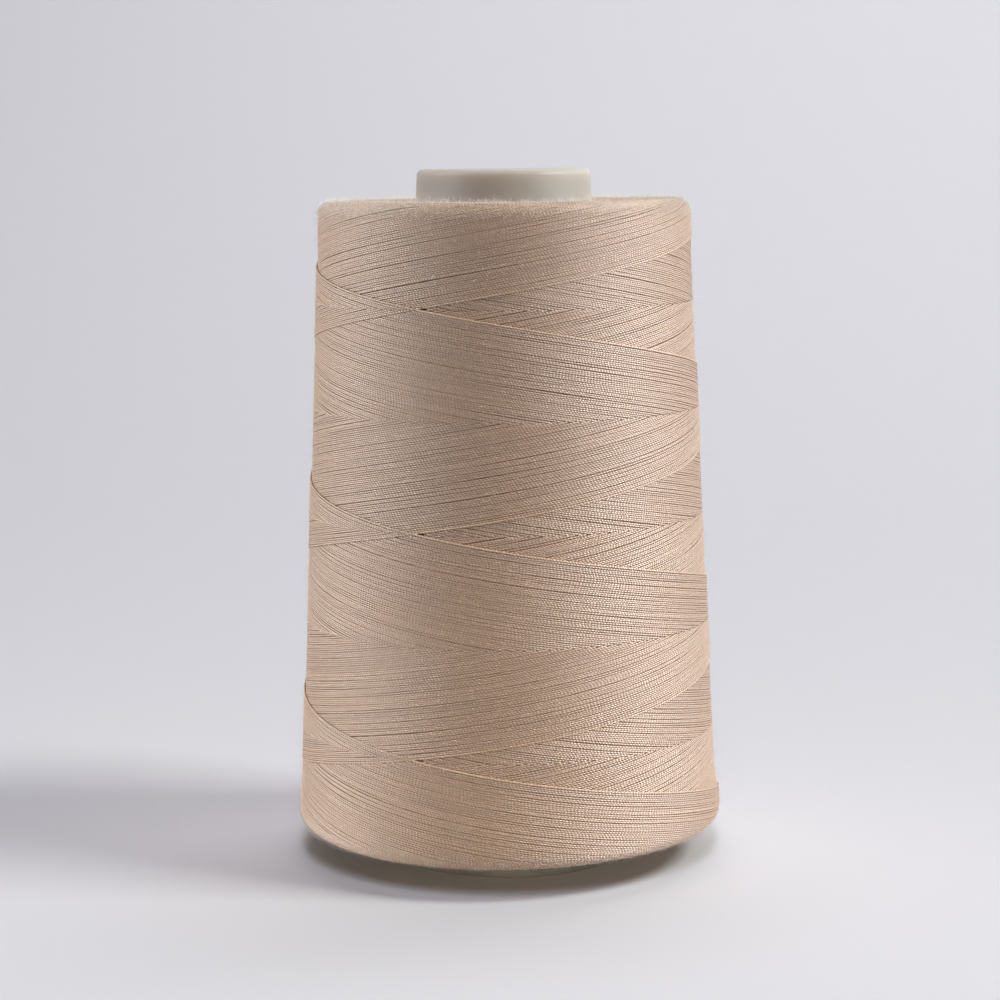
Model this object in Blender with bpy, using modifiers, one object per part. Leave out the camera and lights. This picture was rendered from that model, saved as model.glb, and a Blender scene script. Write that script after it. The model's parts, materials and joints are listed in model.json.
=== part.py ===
"""Cone of sewing thread: a hollow plastic cone and the cross-wound thread on it.

Metres, +Z up. The foot ring stands on Z = 0 and the cone's axis is the Z axis.
The front of the cone looks along -Y. An azimuth is counted from the front, to the right.
"""
import math

import bpy
from mathutils import Vector

# overall sizes
TOTAL_HEIGHT = 0.120
TURN_STEPS = 40               # flat sides of every turned face

# plastic cone
FOOT_RADIUS = 0.0210          # outside, on the floor
NOSE_RADIUS = 0.0150          # outside, under the lip
WALL = 0.0015
LIP_ROUND = 0.0011            # rounding of the lip's outer edge
LIP_HEIGHT = 0.0028           # height of the turned-in lip
LIP_BORE = 0.0125             # radius of the hole in the nose
FOOT_BAND = 0.0024            # thickness of the ring that stands on the floor
FOOT_HEIGHT = 0.0032
FOOT_EDGE = 0.0003            # rounding under the ring

# wound thread
WIND_BOTTOM = 0.0054          # lowest and highest point of the package
WIND_TOP = 0.1146
WIND_RADIUS_BOTTOM = 0.0370
WIND_RADIUS_TOP = 0.0319
SHOULDER_BOTTOM = 0.0026      # rounding of the two ends
SHOULDER_TOP = 0.0023
END_DISH = 0.0006             # how far the end faces fall away towards the cone
SEAT_GAP = 0.0003             # thread to plastic

# the two families of crossing turns
STROKE_TOP = 0.11545          # height where a stroke of the winding turns back
HALF_PITCH_TOP = 0.01795      # height of half a turn at the top
PITCH_GROWTH = 0.0105         # what half a turn gains in height for each metre further down
NEWEST_AZIMUTH = math.radians(153)
FALLING_STEP = 0.00030        # the package steps out under the newest falling turn
RISING_STEP = 0.00012         # and over the newest rising turn
TWIST_RIBS = 10               # low ribs in one turn round, along the turns that lie on top
TWIST_RIB_HEIGHT = 0.00010
TWIST_FADE = 0.0030           # the ribs and steps die out towards the shoulders

# unevenness of the package
END_BUILD_UP = 0.00020        # both ends stand proud where the strokes turn back
END_BUILD_UP_INSET = 0.0045   # from each end to the middle of that swelling
END_BUILD_UP_REACH = 0.0040
FULL_SIDE_BUILD_UP = 0.00028  # more at the bottom, on one side
FULL_SIDE_AZIMUTH = math.radians(75)
BOTTOM_SWAY = 0.00024         # the bottom edge rises and falls twice round
BOTTOM_SWAY_AZIMUTH = math.radians(62)
BOTTOM_SWAY_REACH = 0.0120    # height over which it dies out

# name, colour, roughness, metallic
FINISHES = {
    "ivory_plastic": ((0.46, 0.42, 0.35, 1.0), 0.38, 0.0),
    "beige_thread": ((0.56, 0.40, 0.28, 1.0), 0.85, 0.0),
}


def clear_scene():
    for item in list(bpy.data.objects):
        bpy.data.objects.remove(item, do_unlink=True)


def new_collection(name):
    collection = bpy.data.collections.new(name)
    bpy.context.scene.collection.children.link(collection)
    return collection


def new_material(name):
    colour, roughness, metallic = FINISHES[name]
    material = bpy.data.materials.new(name)
    material.use_nodes = True
    shader = material.node_tree.nodes["Principled BSDF"]
    shader.inputs["Base Color"].default_value = colour
    shader.inputs["Roughness"].default_value = roughness
    shader.inputs["Metallic"].default_value = metallic
    material.diffuse_color = colour
    return material


def arc(centre_r, centre_z, radius, start, end, steps):
    """Points (r, z) on an arc in the profile's plane, angles in degrees, both ends included."""
    points = []
    for i in range(steps + 1):
        angle = math.radians(start + (end - start) * i / steps)
        points.append((centre_r + radius * math.cos(angle), centre_z + radius * math.sin(angle)))
    return points


def turned_object(name, profile, collection):
    """A closed profile of (r, z) points turned round the Z axis."""
    count = len(profile)
    mesh = bpy.data.meshes.new(name)
    mesh.from_pydata([(r, 0, z) for r, z in profile], [(i, (i + 1) % count) for i in range(count)], [])
    body = bpy.data.objects.new(name, mesh)
    collection.objects.link(body)
    screw = body.modifiers.new("turn", "SCREW")
    screw.axis = "Z"
    screw.angle = math.tau
    screw.steps = TURN_STEPS
    screw.render_steps = TURN_STEPS
    screw.use_merge_vertices = True
    screw.merge_threshold = 0.00005
    return body


def bake_modifiers(body):
    """The object keeps the mesh that its modifiers give."""
    bpy.context.view_layer.update()
    evaluated = body.evaluated_get(bpy.context.evaluated_depsgraph_get())
    body.data = bpy.data.meshes.new_from_object(evaluated)
    body.modifiers.clear()


def smooth_faces(body):
    body.data.shade_smooth()
    body.data.set_sharp_from_angle(angle=math.radians(35))


# plastic cone

def cone_radius(z):
    """Outer radius of the plastic cone's straight wall."""
    return FOOT_RADIUS + (NOSE_RADIUS - FOOT_RADIUS) * z / (TOTAL_HEIGHT - LIP_ROUND)


def cone_profile():
    lip_centre_r = NOSE_RADIUS - LIP_ROUND
    lip_centre_z = TOTAL_HEIGHT - LIP_ROUND
    bore_round = LIP_ROUND / 2
    lip = arc(LIP_BORE + bore_round, TOTAL_HEIGHT - bore_round, bore_round, 180, 90, 3)
    lip += arc(lip_centre_r, lip_centre_z, LIP_ROUND, 90, 0, 5)
    foot = arc(FOOT_RADIUS - FOOT_EDGE, FOOT_EDGE, FOOT_EDGE, 0, -90, 2)
    foot_inside = FOOT_RADIUS - FOOT_BAND
    foot += arc(foot_inside + FOOT_EDGE, FOOT_EDGE, FOOT_EDGE, -90, -180, 2)
    foot_top = FOOT_HEIGHT + FOOT_BAND - WALL
    lip_bottom = TOTAL_HEIGHT - LIP_HEIGHT
    lip_foot = lip_bottom - (cone_radius(lip_bottom) - WALL - LIP_BORE)
    inside = [(foot_inside, FOOT_HEIGHT), (cone_radius(foot_top) - WALL, foot_top)]
    inside += [(cone_radius(lip_foot) - WALL, lip_foot), (LIP_BORE, lip_bottom)]
    return lip + foot + inside


def make_plastic_cone(collection):
    body = turned_object("plastic_cone", cone_profile(), collection)
    body.data.materials.append(new_material("ivory_plastic"))
    bake_modifiers(body)
    smooth_faces(body)
    return body


# wound thread

def package_radius(z):
    """Mean outer radius of the wound thread, without its shoulders."""
    share = (z - WIND_BOTTOM) / (WIND_TOP - WIND_BOTTOM)
    return WIND_RADIUS_BOTTOM + (WIND_RADIUS_TOP - WIND_RADIUS_BOTTOM) * share


def half_turns(z):
    """Half turns that a thread makes from the top of its stroke down to z."""
    return math.log(1 + PITCH_GROWTH * (STROKE_TOP - z) / HALF_PITCH_TOP) / PITCH_GROWTH


def height_after(turns):
    """Height that a thread has reached after that many half turns."""
    return STROKE_TOP - HALF_PITCH_TOP * (math.exp(PITCH_GROWTH * turns) - 1) / PITCH_GROWTH


def ages(azimuth, z):
    """How lately the rising and the falling turn at this point were laid, 0 oldest to 1 newest."""
    wound = math.pi * half_turns(z)
    around = azimuth - NEWEST_AZIMUTH
    rising = ((around + wound) / math.tau + 1e-6) % 1.0
    falling = ((around - wound) / math.tau + 1e-6) % 1.0
    return rising, falling


def twist_relief(azimuth, z):
    """Height of the wound surface over its mean: a step along the newest turns, and low ribs."""
    rising, falling = ages(azimuth, z)
    steps = FALLING_STEP * (falling - 0.5) + RISING_STEP * (rising - 0.5)
    ribs = TWIST_RIB_HEIGHT * math.cos(math.tau * TWIST_RIBS * max(rising, falling))
    room = min(WIND_TOP - SHOULDER_TOP - z, z - WIND_BOTTOM - SHOULDER_BOTTOM)
    return (steps + ribs) * min(max(room / TWIST_FADE, 0.0), 1.0)


def end_build_up(azimuth, z):
    """How far the package swells near its two ends."""
    above = (z - WIND_BOTTOM - END_BUILD_UP_INSET) / END_BUILD_UP_REACH
    below = (WIND_TOP - END_BUILD_UP_INSET - z) / END_BUILD_UP_REACH
    full_side = FULL_SIDE_BUILD_UP * max(math.cos(azimuth - FULL_SIDE_AZIMUTH), 0.0)
    return (END_BUILD_UP + full_side) * math.exp(-above ** 2) + END_BUILD_UP * math.exp(-below ** 2)


def bottom_sway(azimuth, z):
    """How far the bottom edge lies above or below its mean height."""
    share = max(1 - (z - WIND_BOTTOM) / BOTTOM_SWAY_REACH, 0.0)
    return BOTTOM_SWAY * math.cos(2 * (azimuth - BOTTOM_SWAY_AZIMUTH)) * share


def wall_heights():
    """Rows of the outer face, spaced so that the crossing turns run through its points."""
    top = WIND_TOP - SHOULDER_TOP
    bottom = WIND_BOTTOM + SHOULDER_BOTTOM
    step = 2 / TURN_STEPS
    first = math.ceil(half_turns(top) / step + 0.5)
    last = math.floor(half_turns(bottom) / step - 0.5)
    return [height_after(i * step) for i in range(first, last + 1)]


def winding_profile():
    seat_top = WIND_TOP - END_DISH
    seat_bottom = WIND_BOTTOM + END_DISH
    top_r = package_radius(WIND_TOP - SHOULDER_TOP) - SHOULDER_TOP
    bottom_r = package_radius(WIND_BOTTOM + SHOULDER_BOTTOM) - SHOULDER_BOTTOM
    seat = [cone_radius(seat_top) + SEAT_GAP, cone_radius(seat_bottom) + SEAT_GAP]
    upper = [(seat[0], seat_top), ((seat[0] + top_r) / 2, WIND_TOP - END_DISH / 4)]
    upper += arc(top_r, WIND_TOP - SHOULDER_TOP, SHOULDER_TOP, 90, 0, 5)
    wall = [(package_radius(z), z) for z in wall_heights()]
    lower = arc(bottom_r, WIND_BOTTOM + SHOULDER_BOTTOM, SHOULDER_BOTTOM, 0, -90, 5)
    lower += [((seat[1] + bottom_r) / 2, WIND_BOTTOM + END_DISH / 4), (seat[1], seat_bottom)]
    return upper + wall + lower


def raise_twists(body):
    """Moves the points of the outer face by the winding's relief and by its unevenness."""
    for point in body.data.vertices:
        z = point.co.z
        radius = math.hypot(point.co.x, point.co.y)
        inner = cone_radius(z) + SEAT_GAP
        share = (radius - inner) / (package_radius(z) - inner)
        azimuth = math.atan2(point.co.x, -point.co.y)
        outward = Vector((point.co.x, point.co.y, 0)) / radius
        point.co += outward * end_build_up(azimuth, z) * share
        if radius > package_radius(z) - SHOULDER_TOP / 2:
            point.co += outward * twist_relief(azimuth, z)
        point.co.z += bottom_sway(azimuth, z) * share


def split_quads(body):
    """Cuts each quad along its shorter diagonal, which lies along a step and not across it."""
    triangulate = body.modifiers.new("split", "TRIANGULATE")
    triangulate.quad_method = "SHORTEST_DIAGONAL"
    bake_modifiers(body)


def make_thread_winding(collection):
    body = turned_object("thread_winding", winding_profile(), collection)
    body.data.materials.append(new_material("beige_thread"))
    bake_modifiers(body)
    raise_twists(body)
    split_quads(body)
    smooth_faces(body)
    return body


def main():
    clear_scene()
    collection = new_collection("cone_of_thread")
    make_plastic_cone(collection)
    make_thread_winding(collection)


main()
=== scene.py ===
import json
import math

import bpy
import numpy as np
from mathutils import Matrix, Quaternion, Vector

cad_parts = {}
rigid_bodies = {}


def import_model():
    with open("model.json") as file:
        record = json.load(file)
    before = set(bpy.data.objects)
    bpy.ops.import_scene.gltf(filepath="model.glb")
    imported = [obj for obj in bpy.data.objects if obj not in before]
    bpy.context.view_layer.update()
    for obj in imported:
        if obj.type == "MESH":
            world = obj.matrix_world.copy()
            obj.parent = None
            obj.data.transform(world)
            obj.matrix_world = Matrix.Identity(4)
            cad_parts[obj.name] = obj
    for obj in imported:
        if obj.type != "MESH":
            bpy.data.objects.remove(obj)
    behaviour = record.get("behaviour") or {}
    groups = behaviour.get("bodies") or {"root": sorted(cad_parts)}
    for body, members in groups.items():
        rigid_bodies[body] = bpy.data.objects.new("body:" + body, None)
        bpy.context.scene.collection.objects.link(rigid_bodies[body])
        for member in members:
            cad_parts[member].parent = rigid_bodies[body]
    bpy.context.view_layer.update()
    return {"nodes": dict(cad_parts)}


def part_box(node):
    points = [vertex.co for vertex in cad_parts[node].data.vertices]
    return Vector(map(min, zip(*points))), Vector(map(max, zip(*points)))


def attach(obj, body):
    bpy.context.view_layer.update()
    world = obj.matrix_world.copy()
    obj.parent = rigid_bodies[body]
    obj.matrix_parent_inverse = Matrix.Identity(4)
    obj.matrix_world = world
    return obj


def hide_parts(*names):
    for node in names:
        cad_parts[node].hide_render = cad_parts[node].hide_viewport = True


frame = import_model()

print("frame loaded:", sorted(frame["nodes"]))

# the photograph's camera, found from the outlines of the cone
photoCamera = {
    "distance": 0.4514,
    "height": 0.1210,
    "pitch": math.radians(7.41),  # looking down
    "yaw": math.radians(-0.14),
    "roll": math.radians(0.51),
    "lens": 93.4,
    "sensor": 36.0,
}

# the plastic cone, as moulded
coneSizes = {
    "height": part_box("plastic_cone")[1].z,
    "footRadius": 0.0210,
    "noseRadius": 0.0150,
    "wall": 0.0015,
    "lipRound": 0.0011,
    "lipHeight": 0.0028,
    "lipBore": 0.0125,
    "footBand": 0.0024,
    "footHeight": 0.0032,
    "footEdge": 0.0003,
    "wallRings": (0.1172, 0.1158, 0.1148, 0.0600, 0.0052),  # heights of the wall's rings, going down
    "sides": 144,
}

# the wound package: its outline and its two families of crossing turns
package = {
    "bottom": 0.0054,
    "top": 0.1146,
    "radiusBottom": 0.0370,
    "radiusTop": 0.0319,
    "shoulderBottom": 0.0026,
    "shoulderTop": 0.0023,
    "endDish": 0.0006,  # how far the end faces sink toward the cone
    "dishReach": 0.014,
    "seatGap": 0.0003,
    "strokeTop": 0.11545,  # unrolled height where the turns reverse at the top
    "halfPitchTop": 0.01795,  # fall of a turn over its first half round
    "pitchGrowth": 0.0105,  # and how that shrinks from one half turn to the next
    "halfTurns": 6,
    "newestAzimuth": math.radians(153),
    "fallingStep": 0.00030,
    "risingStep": 0.00012,
    "buildUp": 0.00020,  # both ends swell where the turns reverse
    "buildUpInset": 0.0045,
    "buildUpReach": 0.0040,
    "fullSide": 0.00028,  # and the bottom swells more on one side
    "fullSideAzimuth": math.radians(75),
    "sway": 0.00024,  # the bottom edge goes up and down twice in a round
    "swayAzimuth": math.radians(62),
    "swayReach": 0.0120,
}


def deselectAll():
    if bpy.context.object and bpy.context.object.mode != "OBJECT":
        bpy.ops.object.mode_set(mode="OBJECT")
    for item in bpy.context.view_layer.objects:
        item.select_set(False)


def makeActive(piece):
    deselectAll()
    piece.select_set(True)
    bpy.context.view_layer.objects.active = piece


def dressPiece(piece, node, material):
    piece.data.materials.clear()
    piece.data.materials.append(material)
    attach(piece, "root")
    if node:
        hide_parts(node)


# outline of the package

def packageRadius(z):
    share = (z - package["bottom"]) / (package["top"] - package["bottom"])
    return package["radiusBottom"] + (package["radiusTop"] - package["radiusBottom"]) * share


def coneRadius(z):
    top = coneSizes["height"] - coneSizes["lipRound"]
    return coneSizes["footRadius"] + (coneSizes["noseRadius"] - coneSizes["footRadius"]) * z / top


def heightAfter(turns):  # unrolled height that a turn has reached after so many half turns
    growth = package["pitchGrowth"]
    return package["strokeTop"] - package["halfPitchTop"] * (np.exp(growth * turns) - 1) / growth


def halfTurns(z):
    growth = package["pitchGrowth"]
    return np.log(1 + growth * (package["strokeTop"] - z) / package["halfPitchTop"]) / growth


def reliefOf(rising, falling):  # both say how lately the turn at a point was laid: 0 oldest, 1 newest
    return package["fallingStep"] * (falling - 0.5) + package["risingStep"] * (rising - 0.5)


def skin(azimuth, unrolled, out):
    # a point of the package's surface: the unrolled height runs on over both shoulders and the end faces
    azimuth, unrolled, out = np.broadcast_arrays(azimuth, unrolled, out)
    wallTop = package["top"] - package["shoulderTop"]
    wallBottom = package["bottom"] + package["shoulderBottom"]
    taper = (package["radiusTop"] - package["radiusBottom"]) / (package["top"] - package["bottom"])
    wallZ = np.clip(unrolled, wallBottom, wallTop)
    r = packageRadius(wallZ)
    z = wallZ.copy()
    lean = np.full(r.shape, -math.atan(taper))
    for past, size, sign in ((unrolled - wallTop, package["shoulderTop"], 1.0),
                             (wallBottom - unrolled, package["shoulderBottom"], -1.0)):
        bend = np.clip(past / size, 0, math.pi / 2)
        flat = np.maximum(past - size * math.pi / 2, 0)
        on = past > 0
        dish = package["endDish"] * np.clip(flat / package["dishReach"], 0, 1) ** 1.5
        r = np.where(on, r - size + size * np.cos(bend) - flat, r)
        z = np.where(on, z + sign * (size * np.sin(bend) - dish), z)
        lean = np.where(on, sign * bend, lean)
    inner = coneRadius(z) + package["seatGap"]
    share = np.clip((r - inner) / (packageRadius(z) - inner), 0, 1)
    above = (z - package["bottom"] - package["buildUpInset"]) / package["buildUpReach"]
    below = (package["top"] - package["buildUpInset"] - z) / package["buildUpReach"]
    full = package["fullSide"] * np.maximum(np.cos(azimuth - package["fullSideAzimuth"]), 0)
    swellAtFoot = (package["buildUp"] + full) * np.exp(-above ** 2)
    swellAtTop = package["buildUp"] * np.exp(-below ** 2)
    r = r + share * (swellAtFoot + swellAtTop)
    swayShare = np.maximum(1 - (z - package["bottom"]) / package["swayReach"], 0) * share
    z = z + package["sway"] * np.cos(2 * (azimuth - package["swayAzimuth"])) * swayShare
    r = r + out * np.cos(lean)
    z = z + out * np.sin(lean)
    outward = np.stack([np.sin(azimuth), -np.cos(azimuth), np.zeros_like(r)], -1)
    point = outward * r[..., None]
    point[..., 2] = z
    normal = outward * np.cos(lean)[..., None]
    normal[..., 2] = np.sin(lean)
    return point, normal


# material helpers

def newMaterial(name):
    material = bpy.data.materials.new(name)
    material.use_nodes = True
    return material, material.node_tree, material.node_tree.nodes["Principled BSDF"]


def addNode(tree, kind, inputs=None, **settings):
    node = tree.nodes.new(kind)
    for key, value in settings.items():
        setattr(node, key, value)
    for key, value in (inputs or {}).items():
        if isinstance(value, bpy.types.NodeSocket):
            tree.links.new(value, node.inputs[key])
        else:
            node.inputs[key].default_value = value
    return node


def mathNode(tree, operation, first, second=0.0, third=0.0):
    node = addNode(tree, "ShaderNodeMath", {0: first, 1: second, 2: third}, operation=operation)
    return node.outputs[0]


def noiseNode(tree, place, scale, detail, roughness=0.5):
    node = addNode(tree, "ShaderNodeTexNoise", {"Vector": place, "Scale": scale, "Detail": detail,
                                                "Roughness": roughness})
    return node.outputs["Fac"]


def maskNode(tree, value, low, high):  # 0 below low, 1 above high
    node = addNode(tree, "ShaderNodeMapRange", {"Value": value, "From Min": low, "From Max": high})
    return node.outputs[0]


def mixColours(tree, factor, low, high):  # low where the factor is 0, high where it is 1
    node = addNode(tree, "ShaderNodeMix", data_type="RGBA")
    for socket, value in ((node.inputs["Factor"], factor), (node.inputs[6], low), (node.inputs[7], high)):
        if isinstance(value, bpy.types.NodeSocket):
            tree.links.new(value, socket)
        else:
            socket.default_value = value
    return node.outputs[2]


def newGroup(name, inputs, outputs):
    group = bpy.data.node_groups.new(name, "ShaderNodeTree")
    for socketName, kind, value in inputs:
        socket = group.interface.new_socket(socketName, in_out="INPUT", socket_type=kind)
        if value is not None:
            socket.default_value = value
    for socketName, kind in outputs:
        group.interface.new_socket(socketName, in_out="OUTPUT", socket_type=kind)
    return group, group.nodes.new("NodeGroupInput"), group.nodes.new("NodeGroupOutput")


# the two twisted plies of a spun thread: U runs along the thread in ply spacings, V once round it

plyLook = {
    "plies": 2,
    "grooveNarrow": 1.6,
    "fibreAlong": 1.4,  # loose staple fibres lie along the plies
    "fibreAcross": 2.2,
    "fibreTone": 0.75,
    "fibreHeight": 0.5,
    "speckScale": 3300.0,  # short loose fibres show as pale specks over the turns
    "speckFrom": 0.56,
    "speckTo": 0.74,
    "roughness": 0.49,
    "grooveRoughness": 0.25,
}


def makePlyGroup():
    look = plyLook
    group, source, sink = newGroup("spunPlies", [
        ("Along", "NodeSocketFloat", 0.0),
        ("Around", "NodeSocketFloat", 0.0),
        ("Tone", "NodeSocketFloat", 1.0),
        ("Colour", "NodeSocketColor", (0.5, 0.4, 0.3, 1)),
        ("Painted Groove Shade", "NodeSocketColor", (0.2, 0.12, 0.08, 1)),
        ("Groove Shade Share", "NodeSocketFloat", 0.6),
        ("Fibre Scale", "NodeSocketFloat", 9.0),
        ("Speck Share", "NodeSocketFloat", 0.5),
    ], [("Colour", "NodeSocketColor"), ("Height", "NodeSocketFloat"), ("Roughness", "NodeSocketFloat")])
    given = source.outputs
    turned = mathNode(group, "MULTIPLY_ADD", given["Around"], look["plies"], given["Along"])
    wave = mathNode(group, "SINE", mathNode(group, "MULTIPLY", turned, math.pi))
    ridge = mathNode(group, "ABSOLUTE", wave)
    groove = mathNode(group, "POWER", mathNode(group, "SUBTRACT", 1.0, ridge), look["grooveNarrow"])
    along = mathNode(group, "MULTIPLY", given["Along"], look["fibreAlong"])
    across = mathNode(group, "MULTIPLY", turned, look["fibreAcross"])
    place = addNode(group, "ShaderNodeCombineXYZ", {"X": along, "Y": across, "Z": given["Tone"]})
    fibre = noiseNode(group, place.outputs[0], given["Fibre Scale"], 3.0, 0.6)
    fibreMask = mathNode(group, "SUBTRACT", fibre, 0.5)
    # painted shade: the grooves between the plies are darkened toward the groove colour
    paintedGrooveShade = mathNode(group, "MULTIPLY", groove, given["Groove Shade Share"])
    mixed = mixColours(group, paintedGrooveShade, given["Colour"], given["Painted Groove Shade"])
    body = addNode(group, "ShaderNodeTexCoord")
    speck = noiseNode(group, body.outputs["Object"], look["speckScale"], 1.0)
    speckMask = maskNode(group, speck, look["speckFrom"], look["speckTo"])
    speckTone = mathNode(group, "MULTIPLY", speckMask, given["Speck Share"])
    turnTone = mathNode(group, "ADD", given["Tone"], speckTone)
    tone = mathNode(group, "MULTIPLY_ADD", fibreMask, look["fibreTone"], turnTone)
    toned = addNode(group, "ShaderNodeVectorMath", {0: mixed, "Scale": tone}, operation="SCALE")
    group.links.new(toned.outputs[0], sink.inputs["Colour"])
    height = mathNode(group, "MULTIPLY_ADD", fibreMask, look["fibreHeight"], ridge)
    group.links.new(height, sink.inputs["Height"])
    rough = mathNode(group, "MULTIPLY_ADD", groove, look["grooveRoughness"], look["roughness"])
    group.links.new(rough, sink.inputs["Roughness"])
    return group


threadLook = {
    "colour": (0.402, 0.251, 0.156, 1),
    # the groove colour is painted shade for the grooves between the plies
    "groove": (0.120, 0.058, 0.028, 1),
    "grooveShadeShare": 0.80,
    "bump": 0.000044,
    "plySpacing": 0.00056,
    "gloss": 1.0,
    "ior": 1.70,
}


def makeThreadMaterial(plyGroup):
    material, tree, shader = newMaterial("beigeSpunThread")
    uv = addNode(tree, "ShaderNodeUVMap", uv_map="alongThread")
    parts = addNode(tree, "ShaderNodeSeparateXYZ", {0: uv.outputs[0]})
    tone = addNode(tree, "ShaderNodeAttribute", attribute_name="turnTone")
    plies = addNode(tree, "ShaderNodeGroup", {
        "Along": parts.outputs["X"], "Around": parts.outputs["Y"], "Tone": tone.outputs["Fac"],
        "Colour": threadLook["colour"], "Painted Groove Shade": threadLook["groove"],
        "Groove Shade Share": threadLook["grooveShadeShare"],
    }, node_tree=plyGroup)
    height = plies.outputs["Height"]
    bump = addNode(tree, "ShaderNodeBump", {"Height": height, "Distance": threadLook["bump"]})
    tree.links.new(plies.outputs["Colour"], shader.inputs["Base Color"])
    tree.links.new(plies.outputs["Roughness"], shader.inputs["Roughness"])
    tree.links.new(bump.outputs[0], shader.inputs["Normal"])
    shader.inputs["Specular IOR Level"].default_value = threadLook["gloss"]
    shader.inputs["IOR"].default_value = threadLook["ior"]
    return material


# tubes of thread, all turns of a piece in one mesh

tube = {
    "sides": 6,
    "halfWidth": 0.000178,
    "halfHeight": 0.000150,
    "layer": 0.00027,  # how far a turn dips to pass under another
}


class TubeMesh:
    def __init__(self, sides=tube["sides"]):
        self.sides = sides
        self.points, self.faces, self.caps, self.uvs, self.tones, self.count = [], [], [], [], [], 0

    def add(self, centre, normal, width, height, along, tone, taper=None):
        sides = self.sides
        steps = len(centre)
        tangent = np.gradient(centre, axis=0)
        tangent /= np.linalg.norm(tangent, axis=1)[:, None]
        side = np.cross(tangent, normal)
        side /= np.linalg.norm(side, axis=1)[:, None]
        up = np.cross(side, tangent)
        angle = math.pi / 2 + math.tau * np.arange(sides) / sides
        scale = np.ones(steps) if taper is None else taper
        ring = (side[:, None, :] * (width * np.cos(angle))[None, :, None]
                + up[:, None, :] * (height * np.sin(angle))[None, :, None])
        ring = centre[:, None, :] + ring * scale[:, None, None]
        self.points.append(ring.reshape(-1, 3))
        i = np.arange(steps - 1)[:, None] * sides
        j = np.arange(sides)[None, :]
        k = (j + 1) % sides
        quads = np.stack([i + j, i + k, i + sides + k, i + sides + j], -1).reshape(-1, 4) + self.count
        self.faces.append(quads)
        around = np.stack(np.broadcast_arrays(j, j + 1, j + 1, j), -1) / sides
        place = np.stack([along[:-1, None], along[:-1, None], along[1:, None], along[1:, None]], -1)
        place = np.broadcast_to(place, (steps - 1, sides, 4))
        around = np.broadcast_to(around, (steps - 1, sides, 4))
        self.uvs.append(np.stack([place, around], -1).reshape(-1, 2))
        self.tones.append(np.repeat(np.broadcast_to(tone, steps), sides))
        self.caps.append(self.count + np.arange(sides)[::-1])
        self.caps.append(self.count + (steps - 1) * sides + np.arange(sides))
        self.count += steps * sides

    def build(self, name):
        points = np.concatenate(self.points)
        quads = np.concatenate(self.faces)
        caps = np.array(self.caps)
        sides = self.sides
        mesh = bpy.data.meshes.new(name)
        mesh.vertices.add(len(points))
        mesh.vertices.foreach_set("co", points.astype(np.float32).ravel())
        loops = np.concatenate([quads.ravel(), caps.ravel()])
        mesh.loops.add(len(loops))
        mesh.loops.foreach_set("vertex_index", loops.astype(np.int32))
        starts = np.concatenate([np.arange(len(quads)) * 4, len(quads) * 4 + np.arange(len(caps)) * sides])
        mesh.polygons.add(len(starts))
        mesh.polygons.foreach_set("loop_start", starts.astype(np.int32))
        uv = mesh.uv_layers.new(name="alongThread")
        values = np.concatenate([np.concatenate(self.uvs), np.zeros((len(caps) * sides, 2))])
        mesh.update(calc_edges=True)
        uv.data.foreach_set("uv", values.astype(np.float32).ravel())
        tone = mesh.attributes.new("turnTone", "FLOAT", "POINT")
        tone.data.foreach_set("value", np.concatenate(self.tones).astype(np.float32))
        mesh.validate()
        mesh.shade_smooth()
        piece = bpy.data.objects.new(name, mesh)
        bpy.context.scene.collection.objects.link(piece)
        return piece


turnLook = {
    "round": 107,  # turns side by side in one pitch, for each family
    "columnStep": math.radians(5.0),
    "columnMargin": 0.45 * math.radians(1.7),
    "endPoints": (0, 0.55, 1.1, 1.6, 2.1, 2.6),  # finer points at both ends of a turn, in turns' widths
    "overlap": 1.6,  # how far a turn runs on under the others, in turns' widths
    "partingShare": 0.30,  # share of the turns with a parting beside them
    "partingWidth": (0.00003, 0.00012),
    "partingReach": (0.25, 1.10),  # half its length, in radians round the package
    "partingFade": 3.0,  # turns over which it closes again
    "layDrift": 0.0016,  # how the twist's length changes from turn to turn
    "layKept": 0.96,
    "twistDrift": 0.07,
    "meanRadius": 0.0345,
    "wobble": 0.000022,
    "lift": 0.000010,
    "tone": 0.040,  # turns differ a little in lightness, and the newest ones are painted paler as painted light
    "newestPaintedLight": 0.34,
    "registerShift": 0.39,  # ply spacings that each turn lies further round than the one above
    "swirl": 0.16,  # ply spacings that the strokes sway by over the package
    "turnBack": 0.030,  # half turns that a reversal is rounded off by
    "reversalReach": 0.075,  # half turns that a turn runs on past its reversal
    "reversalJitter": 0.012,
    "jitterReach": 0.06,
    "newestStand": 0.00003,
    "seed": 41,
}


class Partings:
    # narrow gaps that open and close between neighbouring turns
    def __init__(self, rng, sign):
        self.sign = sign
        self.rows = {}
        number = turnLook["round"]
        for stroke in range(package["halfTurns"] + 1):
            rows = []
            for k in range(2, number):
                if rng.random() > turnLook["partingShare"]:
                    continue
                age = k / number
                start = math.tau * age + sign * math.pi * stroke
                middle = start + sign * rng.uniform(0, math.pi * age) * (1 if sign < 0 else -1)
                rows.append((k - 0.5, middle, rng.uniform(*turnLook["partingReach"]),
                             rng.uniform(*turnLook["partingWidth"])))
            self.rows[stroke] = np.array(rows)

    def shift(self, stroke, k, azimuth):
        rows = self.rows[stroke]
        near = rows[np.abs(rows[:, 0] - k) < 3 * turnLook["partingFade"]]
        moved = np.zeros_like(azimuth)
        for place, middle, reach, width in near:
            span = np.clip((azimuth - middle) / reach, -1, 1)
            opening = width / 2 * np.cos(span * math.pi / 2) ** 2
            away = k - place
            moved += self.sign * np.sign(away) * opening * math.exp(-abs(away) / turnLook["partingFade"])
        return moved


def smoothStep(x):
    x = np.clip(x, 0, 1)
    return x * x * (3 - 2 * x)


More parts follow.
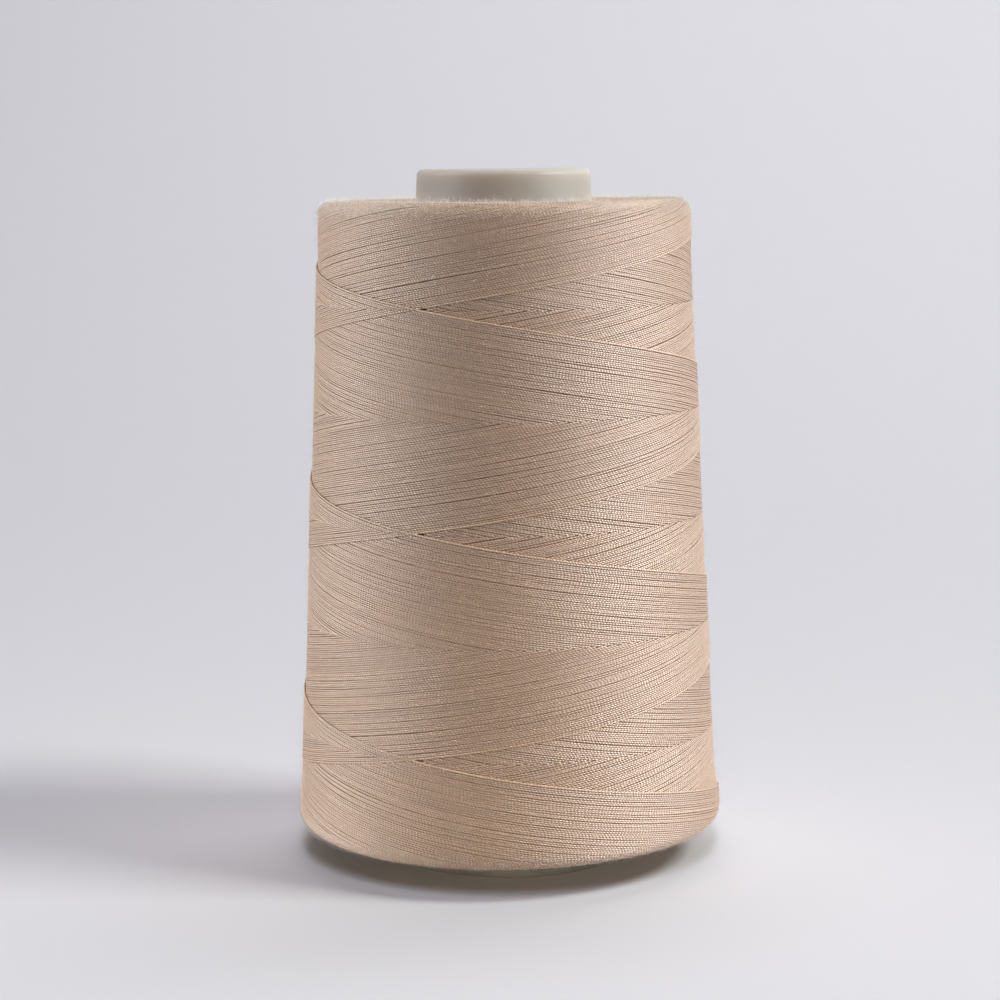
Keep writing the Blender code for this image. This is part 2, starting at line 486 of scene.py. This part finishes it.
def wobbleOf(rng, azimuth, size):
    a, b, c = rng.uniform(0, math.tau, 3)
    slow, middling, quick = np.sin(azimuth * 2.3 + a), np.sin(azimuth * 5.1 + b), np.sin(azimuth * 11.0 + c)
    return size * (slow + 0.8 * middling + 0.5 * quick)


def swirlOf(azimuth, row):  # a slow sway of the twist, shared by neighbouring turns
    waves = ((3.1, 0.21, 0.3), (-5.3, 0.34, 1.9), (8.7, 0.17, 4.0), (6.1, -0.47, 2.6), (13.0, 0.29, 5.1))
    sway = sum(np.sin(around * azimuth + down * row + start) for around, down, start in waves)
    return turnLook["swirl"] * sway


def columnsBetween(low, high, fine):
    # even columns round the package, with the finer points near both ends
    step = turnLook["columnStep"]
    inner = np.arange(math.ceil(low / step), math.floor(high / step) + 1) * step
    margin = turnLook["columnMargin"]
    inner = inner[(inner > low + fine[-1] + margin) & (inner < high - fine[-1] - margin)]
    ends = np.concatenate([low + np.array(fine), high - np.array(fine)])
    return np.sort(np.concatenate([inner, ends[(ends >= low) & (ends <= high)]]))


def roundedOff(short):  # half turns from a reversal, where the thread turns back in a small bend
    return np.sqrt(short ** 2 + turnLook["turnBack"] ** 2)


def halfTurnsAlong(span, stroke, sign, jitter):
    last = package["halfTurns"]
    short = span if sign < 0 else last - span
    nudge = jitter * np.exp(-(short / turnLook["jitterReach"]) ** 2)
    if sign < 0 and stroke == 0:
        return roundedOff(short) + nudge
    if sign > 0 and stroke == last:
        return last - roundedOff(short) + nudge
    return span


def depthOfTurn(span, stroke, sign, near, far, age, otherAge):
    # where the turn dips under others: at the level crossing line, and under the newest turn
    last = package["halfTurns"]
    gap = 1.0 / turnLook["round"]
    if sign < 0:
        relief = reliefOf(age, otherAge)
        dipLevel = 1 - smoothStep((span - near) / gap)
        dipNewest = smoothStep((span - (far - gap)) / gap)
        newestDepth = max(tube["layer"] - package["fallingStep"], 0.0)
    else:
        relief = reliefOf(otherAge, age)
        dipLevel = smoothStep((span - far) / gap)
        dipNewest = 1 - smoothStep((span - near) / gap)
        newestDepth = tube["layer"] - package["risingStep"]
    if sign < 0 and stroke == 0:
        dipLevel = smoothStep((-span - 0.5 * gap) / (3 * gap))
    if sign > 0 and stroke == last:
        dipLevel = smoothStep((span - last - 0.5 * gap) / (3 * gap))
    return relief - tube["halfHeight"] - (tube["layer"] * dipLevel + newestDepth * dipNewest)


def layTurns(sign, rng, upper, lower):
    # sign -1: rising turns, which run up to the right; +1: falling turns
    look = turnLook
    number = look["round"]
    last = package["halfTurns"]
    gap = 1.0 / number
    fine = np.array(look["endPoints"]) * gap * math.pi
    partings = Partings(rng, sign)
    drift, lay = 0.0, 0.0
    for k in range(1, number + 1):
        age = k / number
        drift += rng.normal(0, look["twistDrift"])
        lay = look["layKept"] * lay + rng.normal(0, look["layDrift"])
        offset = rng.normal(0, look["wobble"])
        turnTone = 1 + rng.normal(0, look["tone"])
        if age < 1.5 * gap:  # the oldest turn lies wholly under the others
            continue
        for stroke in range(last + 1):
            # half turns at the ends of the stretch that lies on top
            near, far = (stroke, stroke + age) if sign < 0 else (stroke - age, stroke)
            if near < 0 or far > last:
                continue
            low, high = near - look["overlap"] * gap, far + look["overlap"] * gap
            if sign < 0 and stroke == 0:
                low = near - look["reversalReach"]
            if sign > 0 and stroke == last:
                high = far + look["reversalReach"]
            span = columnsBetween(low * math.pi, high * math.pi, fine) / math.pi
            if len(span) < 4:
                continue
            azimuth = math.tau * age + sign * math.pi * span
            turns = halfTurnsAlong(span, stroke, sign, rng.normal(0, look["reversalJitter"]))
            unrolled = heightAfter(turns) + partings.shift(stroke, k, azimuth) + offset
            unrolled = unrolled + wobbleOf(rng, azimuth, look["wobble"])
            other = np.clip(span - near if sign < 0 else far - span, 0, age)
            otherAge = age - other
            out = depthOfTurn(span, stroke, sign, near, far, age, otherAge)
            out = out + wobbleOf(rng, azimuth, look["lift"])
            tone = turnTone
            if k == number:  # the newest turn stands clear where the other family lies deep
                out = out + look["newestStand"]
                # painted light: where it stands clear of the other family, the newest turn is painted paler
                tone = turnTone + look["newestPaintedLight"] * (0.25 + 0.75 * (1 - otherAge))
            around = azimuth + package["newestAzimuth"]
            centre, normal = skin(around, unrolled, out)
            row = stroke * number + k if sign < 0 else stroke * number - k
            along = around * (1 + lay) * look["meanRadius"] / threadLook["plySpacing"]
            along = along - look["registerShift"] * row + drift + swirlOf(around, row)
            mesh = upper if (stroke < last / 2 if sign < 0 else stroke <= last / 2) else lower
            mesh.add(centre, normal, tube["halfWidth"], tube["halfHeight"], sign * along, tone)


def makeTurns(material):
    rng = np.random.default_rng(turnLook["seed"])
    made = []
    for sign, name in ((-1, "turns_rising"), (1, "turns_falling")):
        upper, lower = TubeMesh(), TubeMesh()
        layTurns(sign, rng, upper, lower)
        for mesh, part in ((upper, "upper"), (lower, "lower")):
            piece = mesh.build(f"{name}_{part}")
            dressPiece(piece, None, material)
            made.append(piece)
            print(piece.name, len(piece.data.polygons), "faces")
    return made


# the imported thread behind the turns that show

bodyLook = {
    "columns": 120,
    "rowStep": 0.0012,
    "shoulderRows": 8,
    "faceRows": (0.0136, 0.009, 0.0045),  # distances in from the shoulders, over the end faces
    "floorRows": (0.0045, 0.009, 0.0126),
    "seatInset": 0.0009,  # how far the end faces lie in at the cone
    "drawnStep": 0.0005,
    "below": 0.00027,  # under the outer face
    # the darker colour is painted shade where the older turns lie deep in the partings
    "colours": ((0.190, 0.105, 0.065, 1), (0.380, 0.235, 0.145, 1)),
    "lineScale": (300, 300, 2900),
    "lineHeight": 0.00008,
}


def makeWoundBody(material):
    # a ring is drawn out row by row, its rows are laid over the package, and the seat closes it
    look = bodyLook
    low = package["bottom"] + package["shoulderBottom"]
    high = package["top"] - package["shoulderTop"]
    overTop = package["shoulderTop"] * math.pi / 2
    underBottom = package["shoulderBottom"] * math.pi / 2
    face = high + overTop + np.array(look["faceRows"])
    arcTop = high + overTop * np.linspace(1, 0.1, look["shoulderRows"])
    wall = np.arange(high, low, -look["rowStep"])
    arcBottom = low - underBottom * np.linspace(0.1, 1, look["shoulderRows"])
    floor = low - underBottom - np.array(look["floorRows"])
    rows = np.concatenate([face, arcTop, wall, arcBottom, floor])
    columns = look["columns"]
    bpy.ops.mesh.primitive_circle_add(vertices=columns, radius=package["radiusTop"], location=(0, 0, 0))
    piece = bpy.context.object
    piece.name = "wound_body"
    bpy.ops.object.mode_set(mode="EDIT")
    bpy.ops.mesh.select_all(action="SELECT")
    for _ in range(len(rows) + 1):
        bpy.ops.mesh.extrude_region_move(TRANSFORM_OT_translate={"value": (0, 0, -look["drawnStep"])})
    bpy.ops.object.mode_set(mode="OBJECT")
    co = np.zeros(len(piece.data.vertices) * 3, np.float32)
    piece.data.vertices.foreach_get("co", co)
    co = co.reshape(-1, 3)
    level = np.rint(-co[:, 2] / look["drawnStep"]).astype(int)
    azimuth = np.arctan2(co[:, 0], -co[:, 1])
    unrolled = rows[np.clip(level - 1, 0, len(rows) - 1)]
    # it follows the lowest relief close by, so that it never stands out between the turns
    strokeBottom = heightAfter(package["halfTurns"])
    relief = np.full(len(co), 1.0)
    for aside in (-1, 0, 1):
        for up in (-1, 0, 1):
            fromNewest = azimuth - package["newestAzimuth"] + aside * math.tau / columns
            turns = halfTurns(np.clip(unrolled + up * look["rowStep"], strokeBottom, package["strokeTop"]))
            rising = ((fromNewest + math.pi * turns) / math.tau) % 1.0
            falling = ((fromNewest - math.pi * turns) / math.tau) % 1.0
            relief = np.minimum(relief, reliefOf(rising, falling))
    points, _ = skin(azimuth, unrolled, relief - look["below"])
    for edge, end, inward in ((0, package["top"], -1), (len(rows) + 1, package["bottom"], 1)):
        on = level == edge
        radius = coneRadius(end) + package["seatGap"]
        points[on, 0], points[on, 1] = radius * np.sin(azimuth[on]), -radius * np.cos(azimuth[on])
        points[on, 2] = end + inward * look["seatInset"]
    piece.data.vertices.foreach_set("co", points.astype(np.float32).ravel())
    bpy.ops.object.mode_set(mode="EDIT")
    bpy.ops.mesh.select_all(action="DESELECT")
    bpy.ops.mesh.select_non_manifold()
    bpy.ops.mesh.bridge_edge_loops()
    bpy.ops.mesh.select_all(action="SELECT")
    bpy.ops.mesh.normals_make_consistent(inside=False)
    bpy.ops.object.mode_set(mode="OBJECT")
    piece.data.shade_smooth()
    dressPiece(piece, "thread_winding", material)
    print("wound_body", len(piece.data.polygons), "faces")
    return piece


def makeBodyMaterial():
    # older turns, seen only down the partings: fine lines round the package, their darker colour painted
    # shade for the deep gaps
    material, tree, shader = newMaterial("packedThreadInsidePaintedShade")
    place = addNode(tree, "ShaderNodeTexCoord")
    stretched = addNode(tree, "ShaderNodeMapping", {"Vector": place.outputs["Object"],
                                                    "Scale": bodyLook["lineScale"]})
    lines = maskNode(tree, noiseNode(tree, stretched.outputs[0], 1.0, 2.0), 0.35, 0.65)
    bump = addNode(tree, "ShaderNodeBump", {"Height": lines, "Distance": bodyLook["lineHeight"]})
    tree.links.new(mixColours(tree, lines, *bodyLook["colours"]), shader.inputs["Base Color"])
    tree.links.new(bump.outputs[0], shader.inputs["Normal"])
    shader.inputs["Roughness"].default_value = 0.9
    shader.inputs["Specular IOR Level"].default_value = 0.2
    return material


# end faces: the strokes turn back here, so the thread lies in rings of short arcs

endLook = {
    "ringStep": 0.00031,
    "startShare": 0.95,  # the first ring lies this far round the shoulder
    "innerRadius": 0.014,
    "arcSpan": (0.7, 1.5),  # radians
    "arcStep": math.radians(6),
    "overlap": 0.72,
    "jitter": 0.00011,
    "slant": 0.00012,
    "bow": 0.00022,  # an arc's middle lies further in than its ends
    "rise": 0.00016,
    "sink": 0.00010,
    "sinkJitter": 0.00002,
    "tuck": 0.00024,  # its ends go under its neighbours
    "tuckFrom": 0.75,
    "tone": 0.05,
    "seed": 7,
}


def makeEndTurns(name, atTop, rng, material):
    look = endLook
    edge, size, sign = package["bottom"], package["shoulderBottom"], -1
    if atTop:
        edge, size, sign = package["top"], package["shoulderTop"], 1
    wallEnd = edge - sign * size
    start = size * look["startShare"]
    radiusAtEdge = packageRadius(wallEnd) - size
    flatLength = radiusAtEdge - (coneRadius(edge) + package["seatGap"] + tube["halfWidth"])
    stop = size * math.pi / 2 + flatLength
    mesh = TubeMesh()
    distance = start
    while distance < stop:
        radius = max(radiusAtEdge + size - distance, look["innerRadius"])
        position = rng.uniform(0, math.tau)
        turnEnd = position + math.tau
        while position < turnEnd:
            span = rng.uniform(*look["arcSpan"])
            azimuth = np.arange(position - span / 2, position + span / 2, look["arcStep"])
            share = np.linspace(-1, 1, len(azimuth))
            slant = look["slant"] * share
            drift = look["jitter"] * rng.normal() + slant * rng.normal() - look["bow"] * share ** 2
            inward = np.clip(distance + drift, start * 0.9, stop)
            unrolled = wallEnd + sign * inward
            out = -tube["halfHeight"] + look["rise"] * (1 - share ** 2) - look["sink"]
            out = out + rng.normal(0, look["sinkJitter"])
            tucked = smoothStep((np.abs(share) - look["tuckFrom"]) / (1 - look["tuckFrom"]))
            out = out - look["tuck"] * tucked
            centre, normal = skin(azimuth, unrolled, out)
            along = azimuth * radius / threadLook["plySpacing"] + rng.uniform(0, 1)
            tone = 1 + rng.normal(0, look["tone"])
            mesh.add(centre, normal, tube["halfWidth"], tube["halfHeight"], along, tone)
            position += span * look["overlap"]
        distance += look["ringStep"]
    piece = mesh.build(name)
    dressPiece(piece, None, material)
    print(name, len(piece.data.polygons), "faces")
    return piece


# loose fibres that stand off the thread

fuzzLook = {
    "onWall": 6400,
    "onTopFace": 4400,
    "onTopRim": 9000,
    "onBottomRim": 6400,
    "topFaceIn": (0.0040, 0.0030),  # mean and spread, measured in over the shoulder
    "topRimIn": (-0.0002, 0.0036),
    "bottomRimIn": (0.0004, 0.0042),
    "length": (0.0005, 0.0020),
    "rimLength": (0.0004, 0.0013),
    "curl": 1.6,
    "stand": (0.05, 0.8),
    "bend": (0.45, 0.95),
    "clear": 0.00002,
    "taper": 0.7,
    "wallRadius": 0.034,
    "radius": 0.000012,
    "sides": 3,
    "points": 3,
    "colours": ((0.64, 0.58, 0.52, 1), (0.76, 0.715, 0.665, 1)),
    "cloudScale": 900.0,
    "seed": 19,
}


def makeFuzzMaterial():
    material, tree, shader = newMaterial("looseFibre")
    place = addNode(tree, "ShaderNodeTexCoord")
    cloud = noiseNode(tree, place.outputs["Object"], fuzzLook["cloudScale"], 1.0)
    tree.links.new(mixColours(tree, cloud, *fuzzLook["colours"]), shader.inputs["Base Color"])
    shader.inputs["Roughness"].default_value = 0.6
    return material


def makeFuzz(name, places, lengths, rng, material):
    look = fuzzLook
    steps = look["points"]
    share = np.linspace(0, 1, steps)
    mesh = TubeMesh(look["sides"])
    for unrolled, length in zip(places, lengths):
        azimuth = rng.uniform(-math.pi, math.pi)
        turn = rng.uniform(0, math.tau) + rng.normal(0, look["curl"]) * share
        stand = rng.uniform(*look["stand"]) ** 1.3
        sideways = np.cumsum(np.cos(turn)) * length / steps
        upward = np.cumsum(np.sin(turn)) * length / steps
        out = look["clear"] + length * stand * np.sin(share * math.pi * rng.uniform(*look["bend"]))
        centre, normal = skin(azimuth + sideways / look["wallRadius"], unrolled + upward * 0.8, out)
        mesh.add(centre, normal, look["radius"], look["radius"], share, 1.0, 1 - look["taper"] * share)
    piece = mesh.build(name)
    dressPiece(piece, None, material)
    print(name, len(piece.data.polygons), "faces")
    return piece


def makeAllFuzz(material):
    look = fuzzLook
    rng = np.random.default_rng(look["seed"])
    wallTop = package["top"] - package["shoulderTop"]
    wallBottom = package["bottom"] + package["shoulderBottom"]
    wall = rng.uniform(wallBottom, wallTop, look["onWall"])
    face = wallTop + np.abs(rng.normal(*look["topFaceIn"], look["onTopFace"]))
    topRim = wallTop + rng.uniform(*look["topRimIn"], look["onTopRim"])
    bottomRim = wallBottom - rng.uniform(*look["bottomRimIn"], look["onBottomRim"])
    long = rng.uniform(*look["length"], look["onWall"] + look["onTopFace"])
    short = rng.uniform(*look["rimLength"], look["onTopRim"] + look["onBottomRim"])
    sideLengths = np.concatenate([long[:look["onWall"]], short[look["onTopRim"]:]])
    topLengths = np.concatenate([long[look["onWall"]:], short[:look["onTopRim"]]])
    return [makeFuzz("loose_fibres_side", np.concatenate([wall, bottomRim]), sideLengths, rng, material),
            makeFuzz("loose_fibres_top", np.concatenate([face, topRim]), topLengths, rng, material)]


# plastic cone

def coneOutline():
    size = coneSizes
    top = size["height"]
    lipInner = size["lipRound"] / 2

    def arc(r, z, radius, start, end, steps):
        turn = np.radians(np.linspace(start, end, steps + 1))
        return [(r + radius * math.cos(a), z + radius * math.sin(a)) for a in turn]

    outline = arc(size["lipBore"] + lipInner, top - lipInner, lipInner, 180, 90, 6)
    lipOuter = size["lipRound"]
    outline += arc(size["noseRadius"] - lipOuter, top - lipOuter, lipOuter, 90, 0, 10)
    outline += [(coneRadius(z), z) for z in size["wallRings"]]
    outline += arc(size["footRadius"] - size["footEdge"], size["footEdge"], size["footEdge"], 0, -90, 5)
    inside = size["footRadius"] - size["footBand"]
    outline += arc(inside + size["footEdge"], size["footEdge"], size["footEdge"], -90, -180, 5)
    footTop = size["footHeight"] + size["footBand"] - size["wall"]
    lipBottom = top - size["lipHeight"]
    lipFoot = lipBottom - (coneRadius(lipBottom) - size["wall"] - size["lipBore"])
    outline += [(inside, size["footHeight"]), (coneRadius(footTop) - size["wall"], footTop)]
    middle = size["wallRings"][3]
    outline += [(coneRadius(z) - size["wall"], z) for z in (middle, lipFoot)]
    outline += [(size["lipBore"], lipBottom)]
    return outline


plasticLook = {
    "colours": ((0.390, 0.340, 0.276, 1), (0.430, 0.378, 0.314, 1)),
    "speck": (0.25, 0.2, 0.15, 1),
    "cloudScale": 90.0,
    "speckScale": 420.0,
    "speckSize": 0.045,
    "speckShare": 0.35,
    "grainScale": 2600.0,
    "grainHeight": 0.000012,
    "roughness": (0.46, 0.62),
}


def makePlasticMaterial():
    look = plasticLook
    material, tree, shader = newMaterial("ivoryMouldedPlastic")
    place = addNode(tree, "ShaderNodeTexCoord")
    cloud = noiseNode(tree, place.outputs["Object"], look["cloudScale"], 4.0)
    speck = addNode(tree, "ShaderNodeTexVoronoi", {"Vector": place.outputs["Object"],
                                                   "Scale": look["speckScale"]})
    grain = noiseNode(tree, place.outputs["Object"], look["grainScale"], 2.0)
    colour = mixColours(tree, cloud, *look["colours"])
    dot = mathNode(tree, "LESS_THAN", speck.outputs["Distance"], look["speckSize"])
    dotShare = mathNode(tree, "MULTIPLY", dot, look["speckShare"])
    tree.links.new(mixColours(tree, dotShare, colour, look["speck"]), shader.inputs["Base Color"])
    smooth, rough = look["roughness"]
    roughness = mathNode(tree, "MULTIPLY_ADD", cloud, rough - smooth, smooth)
    tree.links.new(roughness, shader.inputs["Roughness"])
    bump = addNode(tree, "ShaderNodeBump", {"Height": grain, "Distance": look["grainHeight"]})
    tree.links.new(bump.outputs[0], shader.inputs["Normal"])
    shader.inputs["Specular IOR Level"].default_value = 0.60
    shader.inputs["Subsurface Weight"].default_value = 0.80
    shader.inputs["Subsurface Radius"].default_value = (1.0, 0.85, 0.65)
    shader.inputs["Subsurface Scale"].default_value = 0.008
    return material


def makePlasticCone(material):
    outline = coneOutline()
    firstRadius, firstHeight = outline[0]
    bpy.ops.mesh.primitive_circle_add(vertices=coneSizes["sides"], radius=firstRadius,
                                      location=(0, 0, firstHeight))
    piece = bpy.context.object
    piece.name = "cone_moulding"
    bpy.ops.object.transform_apply(location=True, rotation=True, scale=True)
    bpy.ops.object.mode_set(mode="EDIT")
    bpy.ops.mesh.select_all(action="SELECT")
    radius, height = firstRadius, firstHeight
    for nextRadius, nextHeight in outline[1:]:
        bpy.ops.mesh.extrude_region_move(TRANSFORM_OT_translate={"value": (0, 0, nextHeight - height)})
        ratio = nextRadius / radius
        bpy.ops.transform.resize(value=(ratio, ratio, 1), center_override=(0, 0, nextHeight))
        radius, height = nextRadius, nextHeight
    bpy.ops.mesh.select_all(action="DESELECT")
    bpy.ops.mesh.select_non_manifold()
    bpy.ops.mesh.bridge_edge_loops()
    bpy.ops.mesh.select_all(action="SELECT")
    bpy.ops.mesh.remove_doubles(threshold=0.000005)
    bpy.ops.mesh.normals_make_consistent(inside=False)
    bpy.ops.object.mode_set(mode="OBJECT")
    makeActive(piece)
    bpy.ops.object.shade_smooth_by_angle(angle=math.radians(40))
    dressPiece(piece, "plastic_cone", material)
    print("cone_moulding", len(piece.data.polygons), "faces")
    return piece


# floor, backdrop, lights and camera

stageLook = {
    "width": 5.0,
    "depth": 2.0,
    "bendAt": 0.40,
    "bendRadius": 1.3,
    "bendSteps": 24,
    "wall": 1.4,
    "below": 0.00002,
    "colours": ((0.796, 0.786, 0.820, 1), (0.804, 0.794, 0.828, 1)),
    "cloudScale": 60.0,
}


def makeStage():
    material, tree, shader = newMaterial("palePaper")
    place = addNode(tree, "ShaderNodeTexCoord")
    cloud = noiseNode(tree, place.outputs["Object"], stageLook["cloudScale"], 3.0)
    tree.links.new(mixColours(tree, cloud, *stageLook["colours"]), shader.inputs["Base Color"])
    shader.inputs["Roughness"].default_value = 0.8
    shader.inputs["Specular IOR Level"].default_value = 0.2
    bpy.ops.mesh.primitive_plane_add(size=1, location=(0, 0, 0))
    sweep = bpy.context.object
    sweep.name = "paper_sweep"
    sweep.scale = (stageLook["width"], stageLook["depth"], 1)
    sweep.location = (0, stageLook["bendAt"] - stageLook["depth"] / 2, -stageLook["below"])
    bpy.ops.object.transform_apply(location=True, rotation=True, scale=True)
    sweep.data.polygons[0].select = False
    for edge in sweep.data.edges:  # only the far edge is drawn up
        edge.select = all(sweep.data.vertices[i].co.y > 0 for i in edge.vertices)
    for vertex in sweep.data.vertices:
        vertex.select = vertex.co.y > 0
    bpy.ops.object.mode_set(mode="EDIT")
    bend = stageLook["bendSteps"]
    radius = stageLook["bendRadius"]
    for i in range(bend):
        a, b = math.pi / 2 * i / bend, math.pi / 2 * (i + 1) / bend
        step = (0, radius * (math.sin(b) - math.sin(a)), radius * (math.cos(a) - math.cos(b)))
        bpy.ops.mesh.extrude_region_move(TRANSFORM_OT_translate={"value": step})
    bpy.ops.mesh.extrude_region_move(TRANSFORM_OT_translate={"value": (0, 0, stageLook["wall"])})
    bpy.ops.object.mode_set(mode="OBJECT")
    sweep.data.shade_smooth()
    sweep.data.materials.append(material)
    return sweep


lightCentre = (0, 0, 0.05)

lightRig = {
    # around and up: degrees from the front; lights: the only pieces it lights; gives: matt or gloss alone
    "keyRight": {"around": 74, "up": 47, "away": 2.20, "size": (0.70, 0.60), "power": 25.2,
                 "colour": (0.97, 1.0, 0.955), "gives": "matt"},
    "frontPaper": {"around": 0, "up": 45, "away": 1.30, "size": (0.20, 0.60), "power": 6.7,
                   "colour": (0.85, 0.885, 1.0), "lights": "paper"},
    "lowFront": {"around": 0, "up": 10, "away": 0.50, "size": (0.35, 0.02), "power": 0.030,
                 "colour": (1.0, 0.90, 0.68), "aim": (0, -0.05, 0), "spread": 22},
    "overhead": {"around": 45, "up": 88, "away": 1.40, "size": (0.50, 0.50), "power": 15.2,
                 "colour": (0.80, 0.98, 1.0), "lights": "thread", "gives": "matt"},
    "sideRight": {"around": 70, "up": 20, "away": 1.10, "size": (0.40, 0.30), "power": 10.6,
                  "colour": (1.0, 1.0, 1.0), "lights": "thread", "gives": "matt"},
    "sideLeft": {"around": -87, "up": 14, "away": 1.10, "size": (0.45, 0.20), "power": 15.6,
                 "colour": (0.90, 0.95, 1.0), "lights": "thread", "gives": "matt"},
    "sheenRight": {"around": 79, "up": 19, "away": 1.10, "size": (0.40, 0.40), "power": 31.5,
                   "colour": (1.0, 1.0, 1.0), "lights": "thread", "gives": "gloss"},
    "sheenLeft": {"around": -88, "up": 14, "away": 1.10, "size": (0.60, 0.30), "power": 17.5,
                  "colour": (1.0, 1.0, 1.0), "lights": "thread", "gives": "gloss"},
    "plasticRight": {"around": 75, "up": 30, "away": 1.10, "size": (0.40, 0.30), "power": 12.8,
                     "colour": (0.725, 0.84, 1.0), "aim": (0, 0, 0.10), "lights": "plastic"},
    "plasticLeft": {"around": -80, "up": 30, "away": 1.10, "size": (0.40, 0.30), "power": 9.8,
                    "colour": (0.69, 0.795, 1.0), "aim": (0, 0, 0.10), "lights": "plastic"},
    "backdrop": {"around": 150, "up": 65, "away": 1.60, "size": (1.4, 0.6), "power": 10.7,
                 "colour": (0.98, 0.97, 1.0), "aim": (0.05, 1.6, 0.25)},
}


def makeLights(lit):
    for name, light in lightRig.items():
        around, up = math.radians(light["around"]), math.radians(light["up"])
        away = Vector((math.sin(around) * math.cos(up), -math.cos(around) * math.cos(up), math.sin(up)))
        place = Vector(lightCentre) + away * light["away"]
        data = bpy.data.lights.new(name, "AREA")
        data.shape = "RECTANGLE"
        data.size, data.size_y = light["size"]
        data.spread = math.radians(light.get("spread", 180))
        data.energy = light["power"]
        data.color = light["colour"]
        lamp = bpy.data.objects.new(name, data)
        lamp.location = place
        lamp.rotation_mode = "QUATERNION"
        lamp.rotation_quaternion = (Vector(light.get("aim", lightCentre)) - place).to_track_quat("-Z", "Y")
        lamp.visible_glossy = light.get("gives") != "matt"
        lamp.visible_diffuse = light.get("gives") != "gloss"
        bpy.context.scene.collection.objects.link(lamp)
        if "lights" in light:
            lamp.light_linking.receiver_collection = lit[light["lights"]]
    world = bpy.data.worlds.new("darkRoom")
    world.use_nodes = True
    background = world.node_tree.nodes["Background"]
    background.inputs["Color"].default_value = (0.90, 0.92, 1.0, 1)
    background.inputs["Strength"].default_value = 0.004
    bpy.context.scene.world = world
    bpy.context.scene.view_settings.view_transform = "Standard"


def makeGroups(paper, plastics, threads):  # what each light can be kept to
    lit = {}
    for name, pieces in (("paper", [paper]), ("plastic", plastics), ("thread", threads)):
        lit[name] = bpy.data.collections.new(f"lit_{name}")
        for piece in pieces:
            lit[name].objects.link(piece)
    return lit


def makeCamera():
    view = photoCamera
    data = bpy.data.cameras.new("photoCamera")
    data.lens = view["lens"]
    data.sensor_width = view["sensor"]
    camera = bpy.data.objects.new("photoCamera", data)
    camera.location = (0, -view["distance"], view["height"])
    forward = Vector((math.sin(view["yaw"]) * math.cos(view["pitch"]),
                      math.cos(view["yaw"]) * math.cos(view["pitch"]), -math.sin(view["pitch"])))
    camera.rotation_mode = "QUATERNION"
    camera.rotation_quaternion = forward.to_track_quat("-Z", "Y") @ Quaternion((0, 0, 1), -view["roll"])
    bpy.context.scene.collection.objects.link(camera)
    bpy.context.scene.camera = camera


makeCamera()
deselectAll()
paper = makeStage()
deselectAll()
plastics = [makePlasticCone(makePlasticMaterial())]
deselectAll()
threads = [makeWoundBody(makeBodyMaterial())]
plyGroup = makePlyGroup()
threadMaterial = makeThreadMaterial(plyGroup)
threads += makeTurns(threadMaterial)
endRandom = np.random.default_rng(endLook["seed"])
threads.append(makeEndTurns("end_turns_top", True, endRandom, threadMaterial))
threads.append(makeEndTurns("end_turns_bottom", False, endRandom, threadMaterial))
threads += makeAllFuzz(makeFuzzMaterial())
makeLights(makeGroups(paper, plastics, threads))
